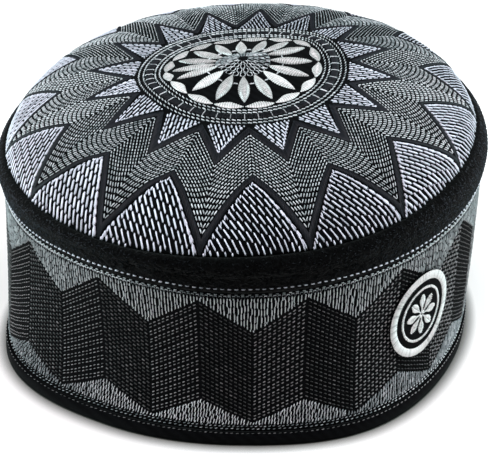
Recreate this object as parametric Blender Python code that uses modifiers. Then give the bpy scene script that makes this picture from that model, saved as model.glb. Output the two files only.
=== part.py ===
"""A round embroidered prayer cap: domed crown, padded rim roll, side band, bound hem and a sewn patch.

Every piece is turned about the cap's upright axis as if the cap were perfectly round, and then
given the cap's real, slightly uneven form by one shared function, form_cap, which reads one table.
Sizes are in millimetres and turns in degrees, where 0 is the front (-Y) and 90 the right side (+X).
"""

import bpy
import numpy as np

MM = 0.001

# Driving sizes of the round cap
BAND_RADIUS = 95.2
RIM_HEIGHT = 71.0
CLOTH = 2.5
GAP = 0.3
CROWN_EDGE_RADIUS = 91.6
CROWN_EDGE_HEIGHT = 88.3
CROWN_EDGE_CUT = 2.9
TURN_STEPS = 72
CREASE_ANGLE = 50.0
WELD = 0.00001

# The side band's wall has this many rows of faces less one, hem to rim
BAND_ROWS = 8

# The hem binding folds over the band's lower edge
HEM_CLOTH = 1.1
HEM_HEIGHT = 6.0
HEM_FLOOR = 1.3
HEM_ROUNDING = 0.8
HEM_LIP = 0.5

# The rim roll is a padded tube that covers the seam between crown and band
ROLL_BULGE_RADIUS = 96.8
ROLL_LOWER_EDGE = RIM_HEIGHT + 0.4
ROLL_TOP_EDGE = CROWN_EDGE_HEIGHT - GAP
ROLL_TOP_INNER_RADIUS = 88.6

# The roll's outer face: how far in from its bulge, and what share of its height down from its top
ROLL_OUTER = (
    {"in": 4.3, "down": -0.024},
    {"in": 2.6, "down": 0.05},
    {"in": 1.0, "down": 0.18},
    {"in": 0.1, "down": 0.38},
    {"in": 0.0, "down": 0.58},
    {"in": 0.5, "down": 0.78},
    {"in": 1.0, "down": 0.92},
    {"in": 1.5, "down": 1.0},
)

# Its inner face, from the bottom up: how far in from the band's inner face
ROLL_INNER = (
    {"in": 0.0, "down": 1.0},
    {"in": 0.9, "down": 0.65},
    {"in": 3.1, "down": 0.25},
)

# The crown's outer face, from its middle to its edge: distance from the axis, height
CROWN_OUTER = (
    {"radius": 0.0, "height": 110.0},
    {"radius": 5.0, "height": 109.0},
    {"radius": 12.0, "height": 107.3},
    {"radius": 26.0, "height": 105.9},
    {"radius": 41.0, "height": 104.9},
    {"radius": 56.0, "height": 103.7},
    {"radius": 68.0, "height": 102.0},
    {"radius": 78.0, "height": 99.3},
    {"radius": 85.0, "height": 96.2},
    {"radius": 89.2, "height": 92.8},
    {"radius": CROWN_EDGE_RADIUS, "height": CROWN_EDGE_HEIGHT},
)

# How far the real cap departs from the round one, every 30 degrees: waist and hem push the band out,
# wave lifts the rim, swell and ring lift the crown's outer and inner part, drape lets its edge slide down
DEPARTURE = (
    {"turn": -180, "waist": -0.4, "hem": -1.6, "wave": 0.8, "swell": 0.2, "ring": -2.6, "drape": 0.0},
    {"turn": -150, "waist": -0.8, "hem": -2.4, "wave": 0.9, "swell": 0.8, "ring": -2.3, "drape": 0.0},
    {"turn": -120, "waist": -0.8, "hem": -2.4, "wave": -1.4, "swell": 2.3, "ring": -1.6, "drape": 0.0},
    {"turn": -90, "waist": 0.4, "hem": -0.2, "wave": -2.3, "swell": 1.8, "ring": 0.2, "drape": 0.3},
    {"turn": -60, "waist": 4.5, "hem": 10.0, "wave": 0.3, "swell": 0.8, "ring": 2.6, "drape": 2.1},
    {"turn": -30, "waist": -0.6, "hem": 3.8, "wave": 2.5, "swell": -0.6, "ring": 1.2, "drape": 4.3},
    {"turn": 0, "waist": -1.6, "hem": 0.8, "wave": 0.3, "swell": -0.4, "ring": 0.1, "drape": 2.5},
    {"turn": 30, "waist": 0.8, "hem": 5.0, "wave": -1.1, "swell": -0.8, "ring": -0.3, "drape": 2.1},
    {"turn": 60, "waist": 0.8, "hem": 2.2, "wave": -0.8, "swell": -0.6, "ring": -0.2, "drape": 0.3},
    {"turn": 90, "waist": 1.3, "hem": 0.4, "wave": -0.5, "swell": 0.0, "ring": 0.3, "drape": 0.0},
    {"turn": 120, "waist": 0.8, "hem": -0.6, "wave": 0.1, "swell": 1.2, "ring": 0.5, "drape": 0.0},
    {"turn": 150, "waist": 0.2, "hem": -1.1, "wave": 0.6, "swell": 0.6, "ring": -1.7, "drape": 0.0},
)
RING_REACH = 60.0

# The drape starts inside the crown's shoulder, is whole outside it, and ends low on the rim roll
SHOULDER_INNER = 74.0
SHOULDER_OUTER = 88.0
SHOULDER_FOOT = 78.4
DRAPE_SPREAD = 0.4

# The crown's middle and its edge lie this far off the cap's axis, to the right and to the back
MIDDLE_SHIFT_X = 0.47
MIDDLE_SHIFT_Y = 1.02
EDGE_SHIFT_X = -0.67
EDGE_SHIFT_Y = -2.13

# The whole top leans: highest at this turn, and the rim is a little lower than RIM_HEIGHT on average
LEAN_TURN = 135.0
LEAN_RISE = 5.5
RIM_SETTLE = -0.3

# The cap's axis stands here, so that the middle of its footprint is the origin
AXIS_X = 0.61
AXIS_Y = 0.58

# The sewn patch on the front right of the band: an oval disc that follows the wall
PATCH_TURN = 42.5
PATCH_HEIGHT = 42.0
PATCH_WIDTH = 31.0
PATCH_TALL = 36.0
PATCH_THICK = 1.5
PATCH_EDGE = 0.9
PATCH_RINGS = (0.0, 0.35, 0.7, 0.95)
PATCH_STEPS = 40

COLLECTION = "kufi"
BLACK_CLOTH = (0.012, 0.012, 0.014, 1.0)
GREY_EMBROIDERY = (0.16, 0.17, 0.175, 1.0)
DARK_EMBROIDERY = (0.075, 0.08, 0.085, 1.0)
PATCH_THREAD = (0.42, 0.42, 0.43, 1.0)


def clear_scene():
    for thing in list(bpy.data.objects):
        bpy.data.objects.remove(thing)


def cloth_material(name, colour, roughness):
    material = bpy.data.materials.new(name)
    material.use_nodes = True
    shader = material.node_tree.nodes["Principled BSDF"]
    shader.inputs["Base Color"].default_value = colour
    shader.inputs["Roughness"].default_value = roughness
    shader.inputs["Metallic"].default_value = 0.0
    return material


def around(column, turn):
    """A column of DEPARTURE at any turn, on a smooth closed curve through its evenly spaced rows."""
    rows = np.array([row[column] for row in DEPARTURE], float)
    place = (np.asarray(turn) - DEPARTURE[0]["turn"]) * len(rows) / 360.0
    low = np.floor(place).astype(int)
    share = place - low
    a, b, c, d = (rows[(low + k) % len(rows)] for k in (-1, 0, 1, 2))
    bend = 2 * a - 5 * b + 4 * c - d + share * (3 * (b - c) + d - a)
    return b + 0.5 * share * (c - a + share * bend)


def form_cap(radius, turn, height):
    """The real place of a point of the round cap.

    Below the rim the band moves out by a parabola in height through the hem, waist and rim.
    The lean and the wave grow from the floor to the rim, and fade from the rim to the crown's middle.
    The swell is nothing at the crown's middle and edge and whole between them, and so is the ring
    inside RING_REACH. The drape and the shifts fade down the rim roll to nothing at SHOULDER_FOOT.
    """
    climb = np.clip(height / RIM_HEIGHT, 0, 1)
    above = np.clip((height - SHOULDER_FOOT) / (ROLL_TOP_EDGE - SHOULDER_FOOT), 0, 1)
    out = around("hem", turn) * (1 - climb) * (1 - 2 * climb)
    out = out + around("waist", turn) * 4 * climb * (1 - climb)
    reach = np.clip(radius / BAND_RADIUS, 0, 1)
    lift = LEAN_RISE * np.cos(np.radians(turn - LEAN_TURN)) * (2 * reach - reach**2)
    lift = lift + (around("wave", turn) + RIM_SETTLE) * reach**2
    across = np.clip(radius / CROWN_EDGE_RADIUS, 0, 1)
    lift = lift + around("swell", turn) * 4 * across**2 * (1 - across**2)
    within = np.clip(radius / RING_REACH, 0, 1)
    lift = lift + around("ring", turn) * 4 * within * (1 - within)
    past = np.clip((radius - SHOULDER_INNER) / (SHOULDER_OUTER - SHOULDER_INNER), 0, 1)
    drape = around("drape", turn) * past**2 * (3 - 2 * past) * above
    real = radius + out + DRAPE_SPREAD * drape
    middle = above * (1 - across)
    edge = above * across**2
    x = AXIS_X + real * np.sin(np.radians(turn)) + MIDDLE_SHIFT_X * middle + EDGE_SHIFT_X * edge
    y = AXIS_Y - real * np.cos(np.radians(turn)) + MIDDLE_SHIFT_Y * middle + EDGE_SHIFT_Y * edge
    return np.stack([x, y, height + climb * lift - drape], axis=-1)


def turned_mesh(name, profile, steps):
    """The closed mesh that a profile of (radius, height) makes when it is turned about the axis.

    The profile runs down its outer side. One that starts and ends on the axis closes there.
    """
    curve = bpy.data.meshes.new(name + "_profile")
    points = [(radius * MM, 0.0, height * MM) for radius, height in profile]
    meets_axis = profile[0][0] == 0.0
    edges = [(i, i + 1) for i in range(len(points) - 1)]
    if not meets_axis:
        edges.append((len(points) - 1, 0))
    curve.from_pydata(points, edges, [])
    holder = bpy.data.objects.new(name + "_profile", curve)
    bpy.context.scene.collection.objects.link(holder)
    screw = holder.modifiers.new("turn", "SCREW")
    screw.steps = steps
    screw.render_steps = steps
    screw.use_merge_vertices = True
    screw.merge_threshold = WELD
    screw.use_smooth_shade = True
    graph = bpy.context.evaluated_depsgraph_get()
    mesh = bpy.data.meshes.new_from_object(holder.evaluated_get(graph))
    bpy.data.objects.remove(holder)
    mesh.name = name
    return mesh


def read_points(mesh):
    points = np.zeros(len(mesh.vertices) * 3)
    mesh.vertices.foreach_get("co", points)
    return points.reshape(-1, 3) / MM


def write_points(mesh, points):
    mesh.vertices.foreach_set("co", (points * MM).ravel())
    mesh.update()


def add_piece(collection, mesh, material):
    mesh.materials.append(material)
    mesh.set_sharp_from_angle(angle=np.radians(CREASE_ANGLE))
    piece = bpy.data.objects.new(mesh.name, mesh)
    collection.objects.link(piece)
    return piece


def cap_piece(collection, name, profile, material):
    """A piece of the cap: turned as a round one, then given the cap's real form."""
    mesh = turned_mesh(name, profile, TURN_STEPS)
    points = read_points(mesh)
    radius = np.hypot(points[:, 0], points[:, 1])
    turn = np.degrees(np.arctan2(points[:, 0], -points[:, 1]))
    write_points(mesh, form_cap(radius, turn, points[:, 2]))
    return add_piece(collection, mesh, material)


def crown_profile():
    """The crown's wall: down the outer face, and back along the same line moved in by the cloth.

    Its edge is cut level, where it meets the rim roll's top.
    """
    outer = np.array([(row["radius"], row["height"]) for row in CROWN_OUTER])
    along = np.gradient(outer, axis=0)
    along /= np.linalg.norm(along, axis=1, keepdims=True)
    inward = np.stack([along[:, 1], -along[:, 0]], axis=1)
    inward[0] = (0.0, -1.0)
    inner = outer + CLOTH * inward
    inner[-1] = (CROWN_EDGE_RADIUS - CROWN_EDGE_CUT, CROWN_EDGE_HEIGHT)
    return [tuple(p) for p in outer] + [tuple(p) for p in inner[::-1]]


def roll_profile():
    """The rim roll: flat under the crown's edge, round outside, and back along the band's inner face."""
    tall = ROLL_TOP_EDGE - ROLL_LOWER_EDGE
    inner_face = BAND_RADIUS - CLOTH
    top = [(ROLL_TOP_INNER_RADIUS, ROLL_TOP_EDGE), (CROWN_EDGE_RADIUS + GAP, ROLL_TOP_EDGE)]
    outer = [(ROLL_BULGE_RADIUS - row["in"], ROLL_TOP_EDGE - row["down"] * tall) for row in ROLL_OUTER]
    inner = [(inner_face - row["in"], ROLL_TOP_EDGE - row["down"] * tall) for row in ROLL_INNER]
    return top + outer + inner


def band_profile():
    """The side band: a plain wall from inside the hem's fold up to the rim roll."""
    top = ROLL_LOWER_EDGE - GAP
    foot = HEM_FLOOR + GAP
    rows = np.linspace(top, foot, BAND_ROWS)
    outer = [(BAND_RADIUS, height) for height in rows]
    inner = [(BAND_RADIUS - CLOTH, height) for height in rows[::-1]]
    return outer + inner


def hem_profile():
    """The hem binding: a fold that holds the band's lower edge, flat where it rests."""
    slot_out = BAND_RADIUS + GAP
    slot_in = BAND_RADIUS - CLOTH - GAP
    out = slot_out + HEM_CLOTH
    into = slot_in - HEM_CLOTH
    return [
        (slot_out, HEM_HEIGHT),
        (out - HEM_LIP, HEM_HEIGHT),
        (out, HEM_HEIGHT - HEM_LIP),
        (out, HEM_ROUNDING),
        (out - HEM_ROUNDING, 0.0),
        (into + HEM_ROUNDING, 0.0),
        (into, HEM_ROUNDING),
        (into, HEM_HEIGHT - HEM_LIP),
        (into + HEM_LIP, HEM_HEIGHT),
        (slot_in, HEM_HEIGHT),
        (slot_in, HEM_FLOOR),
        (slot_out, HEM_FLOOR),
    ]


def patch_piece(collection, material):
    """The sewn patch: a low turned disc, drawn out to an oval and laid round the band's wall."""
    face = [(share, PATCH_THICK) for share in PATCH_RINGS]
    edge = [(1.0, PATCH_EDGE), (1.0, 0.0)]
    back = [(share, 0.0) for share in PATCH_RINGS[-2::-1]]
    profile = face + edge + back
    mesh = turned_mesh("side_patch", profile, PATCH_STEPS)
    points = read_points(mesh)
    across = points[:, 0] * PATCH_WIDTH / 2
    up = points[:, 1] * PATCH_TALL / 2
    turn = PATCH_TURN + np.degrees(across / BAND_RADIUS)
    wall = BAND_RADIUS + GAP + points[:, 2]
    write_points(mesh, form_cap(wall, turn, PATCH_HEIGHT + up))
    return add_piece(collection, mesh, material)


def build():
    clear_scene()
    collection = bpy.data.collections.new(COLLECTION)
    bpy.context.scene.collection.children.link(collection)
    black = cloth_material("black_twill", BLACK_CLOTH, 0.95)
    crown_cloth = cloth_material("crown_embroidery", GREY_EMBROIDERY, 0.8)
    band_cloth = cloth_material("band_embroidery", DARK_EMBROIDERY, 0.8)
    patch_cloth = cloth_material("patch_satin_stitch", PATCH_THREAD, 0.6)
    binding = cloth_material("hem_binding_cloth", BLACK_CLOTH, 0.9)
    cap_piece(collection, "crown", crown_profile(), crown_cloth)
    cap_piece(collection, "crown_welt", roll_profile(), black)
    cap_piece(collection, "side_band", band_profile(), band_cloth)
    cap_piece(collection, "hem_binding", hem_profile(), binding)
    patch_piece(collection, patch_cloth)


build()
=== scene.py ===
# %% [markdown]
# # A kufi dressed in thread
# A kufi is a round, brimless prayer cap. This one has a domed crown, a padded roll round its rim, a
# straight side band and a tape folded over its hem, and nearly all of what the eye sees is machine
# embroidery: thousands of short pale stitches on black cloth. The plain solids come from the CAD
# frame. This lesson gives each one a cloth of its own and then lays real stitches on it.

import bmesh
import bpy
import numpy as np
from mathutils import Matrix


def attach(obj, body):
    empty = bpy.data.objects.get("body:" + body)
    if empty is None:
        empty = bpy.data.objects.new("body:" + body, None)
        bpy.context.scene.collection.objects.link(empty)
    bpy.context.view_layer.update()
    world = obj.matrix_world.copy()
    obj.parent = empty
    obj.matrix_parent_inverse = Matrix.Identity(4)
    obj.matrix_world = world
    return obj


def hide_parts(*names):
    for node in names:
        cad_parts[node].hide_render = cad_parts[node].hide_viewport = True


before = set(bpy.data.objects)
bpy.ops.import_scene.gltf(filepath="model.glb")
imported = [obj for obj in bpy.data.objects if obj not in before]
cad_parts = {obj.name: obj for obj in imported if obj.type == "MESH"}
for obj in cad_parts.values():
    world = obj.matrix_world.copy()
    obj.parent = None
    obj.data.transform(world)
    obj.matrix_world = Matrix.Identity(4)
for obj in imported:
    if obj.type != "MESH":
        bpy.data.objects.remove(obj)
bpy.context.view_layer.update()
MM = 0.001


# %% [markdown]
# ## The cap's form
# The cap is described twice: first as a perfectly round one, where a point is a radius, a turn round
# the axis (0 is the front, 90 the right side) and a height, and then by one function that gives a
# point its real place on the slightly leaning, pulled cap. So every stitch can be laid in a flat
# pattern and still land exactly on the cloth.

# %% Sizes of the round cap, in millimetres
BAND_RADIUS = 95.2
RIM_HEIGHT = 71.0
CLOTH = 2.5
CROWN_EDGE_RADIUS = 91.6
CROWN_EDGE_HEIGHT = 88.3
ROLL_TOP = 88.0

# The crown's share of a move begins at this height and is full at the roll's top
CROWN_FROM = 78.4

# Where the axis stands, and how far the crown's middle and its edge are pushed from it, in x and y
AXIS = (0.61, 0.58)
MIDDLE_PUSH = (0.47, 1.02)
EDGE_PUSH = (-0.67, -2.13)

# The cap leans up by this much towards the back right
LEAN = 5.5
LEAN_TURN = 135
WAVE_MEAN = 0.3

# Within this radius the ring column lifts the crown, and between these two the drape grows
RING_REACH = 60
DRAPE_FROM, DRAPE_FULL = 74, 88

CROWN_PROFILE = np.array(
    [(0, 110), (5, 109), (12, 107.3), (26, 105.9), (41, 104.9), (56, 103.7), (68, 102)]
    + [(78, 99.3), (85, 96.2), (89.2, 92.8), (CROWN_EDGE_RADIUS, CROWN_EDGE_HEIGHT)]
)

# Millimetres off the round cap: twelve values a column, from the back (turn -180) on, every 30 degrees
DEPARTURE = {
    "waist": [-0.4, -0.8, -0.8, 0.4, 4.5, -0.6, -1.6, 0.8, 0.8, 1.3, 0.8, 0.2],
    "hem": [-1.6, -2.4, -2.4, -0.2, 10.0, 3.8, 0.8, 5.0, 2.2, 0.4, -0.6, -1.1],
    "wave": [0.8, 0.9, -1.4, -2.3, 0.3, 2.5, 0.3, -1.1, -0.8, -0.5, 0.1, 0.6],
    "swell": [0.2, 0.8, 2.3, 1.8, 0.8, -0.6, -0.4, -0.8, -0.6, 0.0, 1.2, 0.6],
    "ring": [-2.6, -2.3, -1.6, 0.2, 2.6, 1.2, 0.1, -0.3, -0.2, 0.3, 0.5, -1.7],
    "drape": [0.0, 0.0, 0.0, 0.3, 2.1, 4.3, 2.5, 2.1, 0.3, 0.0, 0.0, 0.0],
}


def around(column, turn):
    """A column of DEPARTURE at any turn: a smooth closed curve through its twelve values."""
    rows = np.array(DEPARTURE[column])
    place = (np.asarray(turn) + 180.0) * len(rows) / 360.0
    low = np.floor(place).astype(int)
    share = place - low
    a, b, c, d = (rows[(low + step) % len(rows)] for step in (-1, 0, 1, 2))
    bend = 2 * a - 5 * b + 4 * c - d + share * (3 * (b - c) + d - a)
    return b + 0.5 * share * (c - a + share * bend)


def form_cap(radius, turn, height):
    """The real place of a point of the round cap, in millimetres.

    The band bows out by a parabola through hem, waist and rim. The lean and the wave grow from the
    floor to the rim and fade towards the crown's middle, swell and ring lift parts of the crown, and
    the drape lets the crown's edge slide down over the rim roll.
    """
    climb = np.clip(height / RIM_HEIGHT, 0, 1)
    above = np.clip((height - CROWN_FROM) / (ROLL_TOP - CROWN_FROM), 0, 1)
    out = around("hem", turn) * (1 - climb) * (1 - 2 * climb)
    out = out + around("waist", turn) * 4 * climb * (1 - climb)
    reach = np.clip(radius / BAND_RADIUS, 0, 1)
    lift = LEAN * np.cos(np.radians(turn - LEAN_TURN)) * (2 * reach - reach**2)
    lift = lift + (around("wave", turn) - WAVE_MEAN) * reach**2
    across = np.clip(radius / CROWN_EDGE_RADIUS, 0, 1)
    lift = lift + around("swell", turn) * 4 * across**2 * (1 - across**2)
    within = np.clip(radius / RING_REACH, 0, 1)
    lift = lift + around("ring", turn) * 4 * within * (1 - within)
    past = np.clip((radius - DRAPE_FROM) / (DRAPE_FULL - DRAPE_FROM), 0, 1)
    drape = around("drape", turn) * past**2 * (3 - 2 * past) * above
    real = radius + out + 0.4 * drape
    middle = above * (1 - across)
    edge = above * across**2
    x = AXIS[0] + real * np.sin(np.radians(turn)) + MIDDLE_PUSH[0] * middle + EDGE_PUSH[0] * edge
    y = AXIS[1] - real * np.cos(np.radians(turn)) + MIDDLE_PUSH[1] * middle + EDGE_PUSH[1] * edge
    return np.stack([x, y, height + climb * lift - drape], axis=-1)


print("Rim at the front:", form_cap(BAND_RADIUS, 0.0, RIM_HEIGHT).round(1), "mm")

# %% [markdown]
# ## Flat patterns and where they land
# An embroiderer draws on flat cloth. The crown's pattern is a disc seen from above, with x to the
# right and y to the back, and the band's is a strip, with s along its length and h up. A place
# function takes flat points and a lift above the cloth, and returns real points. A profile given by
# a few points is softened by cutting its corners again and again, so that no facet shows.

# %% Place functions
def soften(points, times=3):
    """Cuts each corner at a quarter and three quarters of its sides, and keeps both ends."""
    for _ in range(times):
        near = 0.75 * points[:-1] + 0.25 * points[1:]
        far = 0.25 * points[:-1] + 0.75 * points[1:]
        middle = np.stack([near, far], axis=1).reshape(-1, points.shape[1])
        points = np.concatenate([points[:1], middle, points[-1:]])
    return points


CROWN_CURVE = soften(CROWN_PROFILE)

# The roll's outer face: how far in from its bulge, and what share of its height down from its top
ROLL_BULGE = 96.8
ROLL_FOOT = RIM_HEIGHT + 0.4
ROLL_FACE = np.array(
    [(4.3, -0.024), (2.6, 0.05), (1.0, 0.18), (0.1, 0.38), (0.0, 0.58), (0.5, 0.78), (1.0, 0.92), (1.5, 1.0)]
)
ROLL_CURVE = soften(
    np.stack([ROLL_BULGE - ROLL_FACE[:, 0], ROLL_TOP - ROLL_FACE[:, 1] * (ROLL_TOP - ROLL_FOOT)], axis=1)
)


def crown_height(radius):
    """The height of the round cap's dome at a distance from its middle."""
    return np.interp(radius, CROWN_CURVE[:, 0], CROWN_CURVE[:, 1])


def crown_place(x, y, lift):
    """A point of the flat crown pattern, raised along the dome's own normal."""
    radius = np.hypot(x, y)
    turn = np.degrees(np.arctan2(x, -y))
    slope = crown_height(radius + 0.5) - crown_height(np.maximum(radius - 0.5, 0))
    slope = slope / (0.5 + np.minimum(radius, 0.5))
    normal = np.sqrt(1 + slope**2)
    return form_cap(radius - lift * slope / normal, turn, crown_height(radius) + lift / normal)


def band_place(s, h, lift):
    """A point of the flat strip, wrapped round the band and raised straight out."""
    return form_cap(BAND_RADIUS + lift, np.degrees(s / BAND_RADIUS), h)


def roll_radius(h):
    """The radius of the rim roll's outer face at a height."""
    return np.interp(h, ROLL_CURVE[::-1, 1], ROLL_CURVE[::-1, 0])


def roll_place(s, h, lift):
    """A point of a strip wrapped round the rim roll's outer face."""
    return form_cap(roll_radius(h) + lift, np.degrees(s / BAND_RADIUS), h)


def full_circle(count, phase=0.0):
    """Turns round the whole axis, equally far apart."""
    return (np.arange(count) + phase) * 360 / count


def polar(radius, turn):
    """A flat crown point from its distance to the middle and its turn."""
    return np.stack([radius * np.sin(np.radians(turn)), -radius * np.cos(np.radians(turn))], axis=-1)


print("Crown's height at radius 0, 45, 90:", crown_height(np.array([0, 45, 90])).round(1))

# %% [markdown]
# ## Meshes and nodes
# Whole arrays of points and faces go into a mesh at once, which is hundreds of times faster than
# adding them one by one. Another helper adds a shader node with its settings, values and links.

# %% Helpers for meshes
def make_piece(name, points, faces, shade=None):
    """A new object from arrays in millimetres. Faces are rows of three or four corner numbers."""
    mesh = bpy.data.meshes.new(name)
    mesh.vertices.add(len(points))
    mesh.vertices.foreach_set("co", (points * MM).astype(np.float32).ravel())
    mesh.loops.add(faces.size)
    mesh.loops.foreach_set("vertex_index", faces.astype(np.int32).ravel())
    mesh.polygons.add(len(faces))
    starts = np.arange(0, faces.size, faces.shape[1], dtype=np.int32)
    mesh.polygons.foreach_set("loop_start", starts)
    mesh.polygons.foreach_set("use_smooth", np.full(len(faces), True))
    if shade is not None:
        layer = mesh.attributes.new("shade", "FLOAT", "POINT")
        layer.data.foreach_set("value", shade.astype(np.float32))
    mesh.update(calc_edges=True)
    piece = bpy.data.objects.new(name, mesh)
    bpy.context.scene.collection.objects.link(piece)
    print(f"{name}: {len(points)} points, {len(faces)} faces")
    return piece


def grid_faces(rows, columns, closed):
    """Squares of a grid whose columns close into a ring, and whose rows do too if it is closed."""
    index = np.arange(rows * columns).reshape(rows, columns)
    corners = [index, np.roll(index, -1, 0), np.roll(index, -1, (0, 1)), np.roll(index, -1, 1)]
    return np.stack(corners, axis=-1)[: rows if closed else -1].reshape(-1, 4)


def merge_doubles(piece):
    """Makes one point of those that lie together, as where a grid's row shrinks to a pole."""
    shell = bmesh.new()
    shell.from_mesh(piece.data)
    bmesh.ops.remove_doubles(shell, verts=shell.verts, dist=1e-6)
    shell.to_mesh(piece.data)
    shell.free()


# %% Helpers for materials and pieces
def add_node(tree, kind, values=None, links=None, **settings):
    """A shader node with its settings, with values and links given by input socket."""
    node = tree.nodes.new(kind)
    for setting, value in settings.items():
        setattr(node, setting, value)
    for socket, value in (values or {}).items():
        node.inputs[socket].default_value = value
    for socket, source in (links or {}).items():
        tree.links.new(source, node.inputs[socket])
    return node


def linear(hex_colour):
    """An sRGB hex colour as linear red, green, blue and alpha."""
    share = np.array([int(hex_colour[i : i + 2], 16) for i in (1, 3, 5)]) / 255
    value = np.where(share <= 0.04045, share / 12.92, ((share + 0.055) / 1.055) ** 2.4)
    return (*value.tolist(), 1.0)


def new_material(name, values):
    """A material, its node tree and its shader, with values given by the shader's input."""
    material = bpy.data.materials.new(name)
    material.use_nodes = True
    shader = material.node_tree.nodes["Principled BSDF"]
    for socket, value in values.items():
        shader.inputs[socket].default_value = value
    return material, material.node_tree, shader


def calculate(tree, operation, values=None, links=None, **settings):
    return add_node(tree, "ShaderNodeMath", values, links, operation=operation, **settings).outputs[0]


def two_tones(tree, dark, light, share):
    """A colour between two hex colours."""
    tones = {6: linear(dark), 7: linear(light)}
    return add_node(tree, "ShaderNodeMix", tones, {0: share}, data_type="RGBA").outputs[2]


def noise(tree, size_mm, detail, roughness=0.5):
    """Noise in the object's own space, with features of about this size."""
    place = add_node(tree, "ShaderNodeTexCoord").outputs["Object"]
    values = {"Scale": 1 / (size_mm * MM), "Detail": detail, "Roughness": roughness}
    return add_node(tree, "ShaderNodeTexNoise", values, {"Vector": place}).outputs["Fac"]


def add_bump(tree, shader, strength, depth_mm, height):
    values = {"Strength": strength, "Distance": depth_mm * MM}
    relief = add_node(tree, "ShaderNodeBump", values, {"Height": height})
    tree.links.new(relief.outputs[0], shader.inputs["Normal"])


def dress(piece, material, slot, *nodes):
    """Gives a finished piece its material and its body, and hides the CAD parts it stands for. The slot is
    not used.
    """
    piece.data.materials.append(material)
    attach(piece, "root")
    if nodes:
        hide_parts(*nodes)
    return piece


def sew(name, stitches, material, slot):
    """A dressed piece of stitches, given as points, faces and shade."""
    return dress(make_piece(name, *stitches), material, slot)


# %% [markdown]
# ## The camera
# The photograph looks down on the cap by about 33 degrees with a short telephoto view. The camera's
# place was found by fitting the ornament's points, and it needs no shift or depth of field.

# %% Camera
ELEVATION = np.radians(32.79)
DISTANCE = 433.6
TILT = np.radians(0.15)
PHOTO_WIDTH = 488
FOCAL_PIXELS = 1011.51
SENSOR = 36.0
target = np.array([1.30, 0.58, 31.92])
toward = np.array([0.0, np.cos(ELEVATION), -np.sin(ELEVATION)])
eye = (target - DISTANCE * toward) * MM
camera_data = bpy.data.cameras.new("camera")
camera_data.sensor_width = SENSOR
camera_data.lens = FOCAL_PIXELS * SENSOR / PHOTO_WIDTH
camera_data.clip_start = 0.01
camera = bpy.data.objects.new("camera", camera_data)
camera.location = eye
camera.rotation_euler = (np.pi / 2 - ELEVATION, -TILT * np.sin(ELEVATION), 0.0)
bpy.context.scene.collection.objects.link(camera)
bpy.context.scene.camera = camera
print("Camera at", eye.round(4), "with a lens of", round(camera_data.lens, 2), "mm")

# %% [markdown]
# ## Floor and light
# The cap stands on white paper, between soft lights at the left, the right and above, so
# the cap's sides and top shine and its front stays dark. A dim world fills the shadows. The paper
# goes pure white, but a thin dark line stays under the hem, so a painted contact shadow darkens the
# paper where something stands within a few millimetres of it.

# %% Lights and world
CAP_MIDDLE = 0.06


def make_light(name, place, power, size, colour):
    """A round area light at a place in metres, turned towards the cap's middle."""
    data = bpy.data.lights.new(name, "AREA")
    data.energy = power
    data.shape = "DISK"
    data.size = size
    data.color = linear(colour)[:3]
    lamp = bpy.data.objects.new(name, data)
    aim = np.array([0.0, 0.0, CAP_MIDDLE]) - np.array(place)
    flat = np.hypot(aim[0], aim[1])
    lamp.location = place
    lamp.rotation_euler = (np.arctan2(flat, -aim[2]), 0.0, np.arctan2(-aim[0], aim[1]))
    bpy.context.scene.collection.objects.link(lamp)
    print(name, "of", power, "watts at", place)


make_light("left_softbox", (-1.25, 0.05, 0.5), 20.0, 0.6, "#DAF4F5")
make_light("right_softbox", (1.1, 0.1, 0.8), 18.0, 0.8, "#DAF4F5")
make_light("top_softbox", (0.0, -0.28, 1.4), 15.0, 0.8, "#FFF3FA")

world = bpy.data.worlds.new("studio")
world.use_nodes = True
sky = world.node_tree.nodes["Background"]
sky.inputs["Color"].default_value = linear("#DDF3F0")
sky.inputs["Strength"].default_value = 0.24
bpy.context.scene.world = world
bpy.context.scene.view_settings.view_transform = "Standard"

# %% Paper floor
PAPER = {"Roughness": 0.9, "Specular IOR Level": 0.1}
paper, paper_tree, paper_shader = new_material("white_seamless_paper", PAPER)
# Painted contact shadow: the paper's colour goes towards dark grey where something stands within 5.5 mm.
openness = add_node(paper_tree, "ShaderNodeAmbientOcclusion", {"Distance": 5.5 * MM})
unshaded = calculate(paper_tree, "POWER", {1: 3.0}, {0: openness.outputs["AO"]}, use_clamp=True)
paper_painted_shadow = two_tones(paper_tree, "#3A3A34", "#FAF2F0", unshaded)
paper_tree.links.new(paper_painted_shadow, paper_shader.inputs["Base Color"])
floor_corners = np.array([(-3000, -3000, 0), (3000, -3000, 0), (3000, 5000, 0), (-3000, 5000, 0)])
floor = make_piece("floor", floor_corners, np.array([[0, 1, 2, 3]]))
floor.data.materials.append(paper)

# %% [markdown]
# ## Cloth materials
# The ground is black polyester twill, the usual base for a stitched cap. Its yarns lie about 0.4 mm
# apart, so from here the eye gets a dull black with a faint grain. The rim roll is cotton with a
# brushed face, which catches light at grazing angles: that is what sheen is for. The hem is bound
# with bias tape, cut aslant so that it bends round the edge. Images of cloth could be used, but
# noise and waves worked out from real thread sizes stay sharp from every side.

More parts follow.
